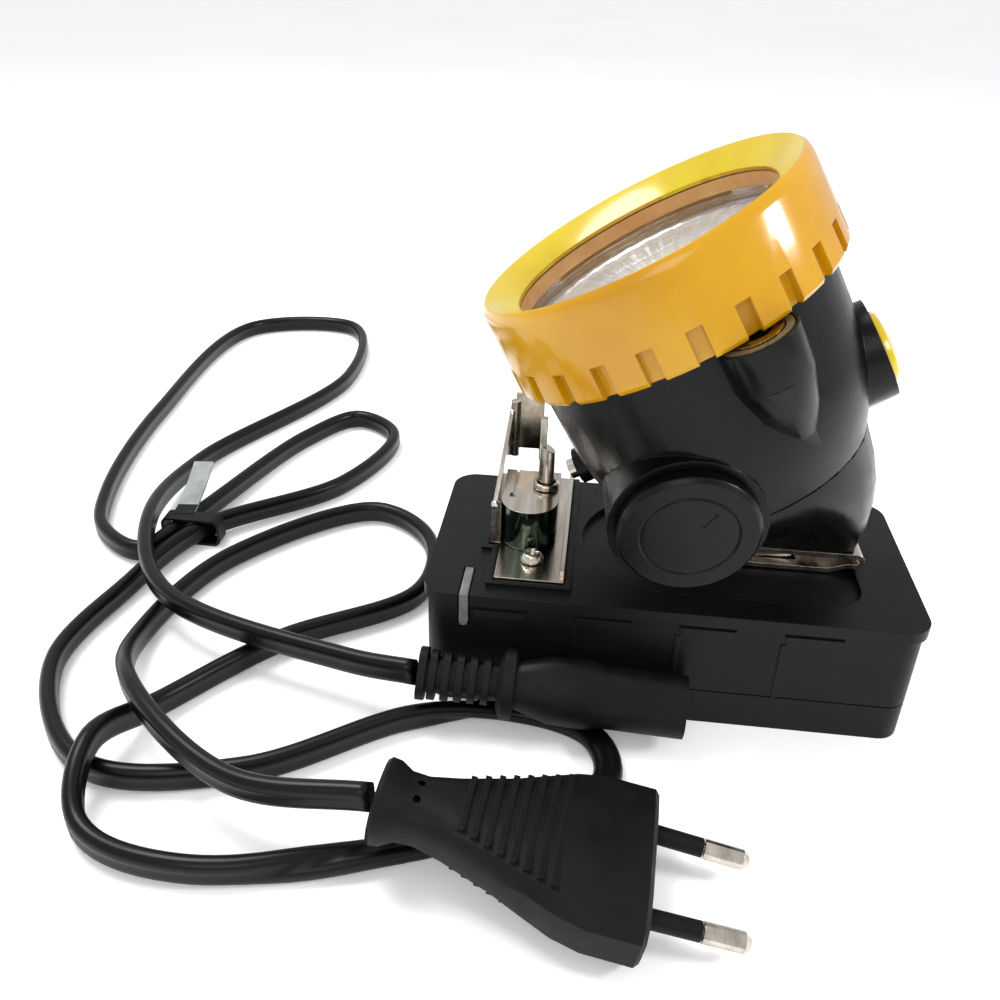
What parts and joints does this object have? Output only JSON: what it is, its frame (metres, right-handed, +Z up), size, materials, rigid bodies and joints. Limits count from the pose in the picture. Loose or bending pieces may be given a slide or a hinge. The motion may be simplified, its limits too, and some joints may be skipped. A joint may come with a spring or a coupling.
{
  "type": "miner's cap lamp",
  "caption": "Cordless miner's cap lamp with a toothed yellow bezel, resting lens up on its desk charger, with the charger's mains lead and europlug.",
  "frame": {"origin": "middle of the charger's flat underside, which stands on the desk", "axes": "+Z up, +X along the charger's long side towards the clip's bend, -Y towards the user; the lens faces up and leans towards -X"},
  "size_m": [0.2397, 0.3059, 0.1253],
  "materials": {
    "blackCase": "fine moulded texture",
    "blackShell": "satin",
    "yellowPlastic": "polished",
    "clearLens": "polished polycarbonate",
    "tanGasket": "smooth silicone",
    "mirror": "vacuum-metallised, fluted",
    "nickel": "nickel plate",
    "darkSteel": "dull plate",
    "brass": "turned",
    "greyPlastic": "moulded",
    "palePipe": "frosted clear",
    "rubber": "matt moulded PVC",
    "cordSheath": "extruded PVC",
    "board": "solder mask",
    "cellWrap": "shrink wrap",
    "phosphor": "cast silicone"
  },
  "bodies": {
    "charger": {"charger_base": "blackCase", "charger_lid": "blackCase", "charger_board": "board", "charger_transformer": "darkSteel", "charger_capacitor": "cellWrap", "charge_led": "phosphor", "light_pipe": "palePipe", "inlet_housing": "blackCase", "inlet_pin_left": "brass", "inlet_pin_right": "brass", "base_screw_1": "darkSteel", "base_screw_2": "darkSteel", "base_screw_3": "darkSteel", "base_screw_4": "darkSteel", "charge_bracket": "nickel", "contact_block": "nickel", "key_ring": "nickel", "charging_key": "darkSteel", "bracket_screw_front": "nickel", "bracket_screw_rear": "nickel", "lead_connector": "rubber", "lead_cord": "cordSheath", "cord_tie": "rubber", "plug_body": "rubber", "pin_sleeve_far": "rubber", "pin_sleeve_near": "rubber", "pin_far": "nickel", "pin_near": "nickel"},
    "lamp": {"bezel_ring": "yellowPlastic", "lens_gasket": "tanGasket", "lens": "clearLens", "reflector": "mirror", "led_board": "board", "led_chip": "phosphor", "control_board": "board", "battery_cell": "cellWrap", "button_switch": "blackCase", "lamp_shell": "blackShell", "rear_cover": "blackShell", "socket_bushing": "greyPlastic", "socket_contact": "brass", "charge_stud": "nickel", "helmet_clip": "nickel", "clip_rivet_left": "nickel", "clip_rivet_right": "nickel"},
    "button": {"power_button": "yellowPlastic"},
    "knob": {"side_knob": "blackShell"}
  },
  "joints": [
    {"name": "lamp_lift", "type": "slide", "parent": "charger", "child": "lamp", "axis": [0, 0, 1], "range_m": [0, 0.09]},
    {"name": "button_press", "type": "slide", "parent": "lamp", "child": "button", "axis": [-0.866, 0, -0.5], "range_m": [0, 0.0012], "stiffness_N_per_m": 600},
    {"name": "knob_turn", "type": "hinge", "parent": "lamp", "child": "knob", "pos_m": [0.00044, -0.034, 0.05426], "axis": [0.0868, -0.9848, -0.1504], "range_deg": [0, 90]}
  ]
}
